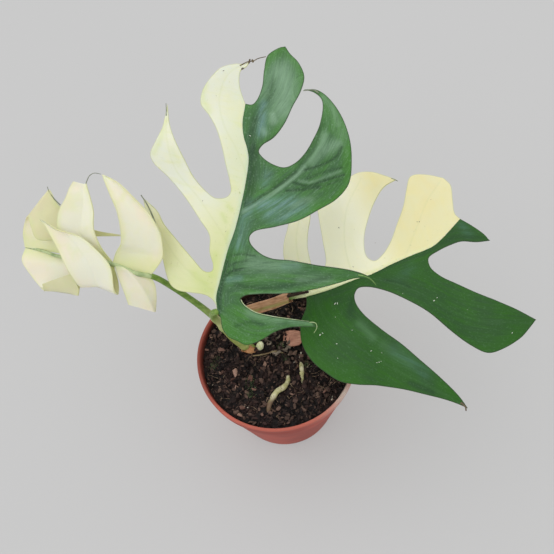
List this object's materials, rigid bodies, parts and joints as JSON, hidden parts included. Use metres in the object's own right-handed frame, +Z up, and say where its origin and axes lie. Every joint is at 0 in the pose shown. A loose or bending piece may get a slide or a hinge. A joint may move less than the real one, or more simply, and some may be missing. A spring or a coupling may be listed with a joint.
{
  "type": "potted variegated rhaphidophora tetrasperma",
  "caption": "Round nursery pot of soil with a young split-leaved climbing aroid, its leaves part cream and part green on a short stem.",
  "frame": {"origin": "centre of the pot's foot, on the surface that the pot stands on", "axes": "+Z up along the pot's axis; the plant's longest spread, from the curled leaf to the green leaf, runs from -X to +X; the largest leaf rises towards +Y"},
  "size_m": [0.29, 0.1973, 0.1989],
  "materials": {
    "stem": "smooth living stem, yellow-green to vivid green",
    "leaf_green": "waxy dark green with a bluish sheen",
    "leaf_cream": "waxy pale cream",
    "young_leaf_cream": "waxy pale cream with olive undersides",
    "dry_sheath": "dry, papery, pinkish brown",
    "shoot": "smooth pale green",
    "husk": "dry, papery, matt",
    "pot": "terracotta-coloured moulded plastic, satin",
    "soil": "moist dark potting mix, matt and crumbly",
    "root": "pale, matt"
  },
  "bodies": {
    "root": {"stem_with_leaf_stalks": "stem", "centre_leaf_green": "leaf_green", "centre_leaf_cream": "leaf_cream", "right_leaf_green": "leaf_green", "right_leaf_cream": "leaf_cream", "left_leaf_cream": "young_leaf_cream", "right_stalk_sheath": "dry_sheath", "stem_sheath": "dry_sheath", "young_shoot": "shoot", "dry_husk": "husk", "pot": "pot", "soil": "soil", "surface_root_pale": "root", "surface_root_short": "root", "surface_root_thin": "root"}
  },
  "joints": []
}
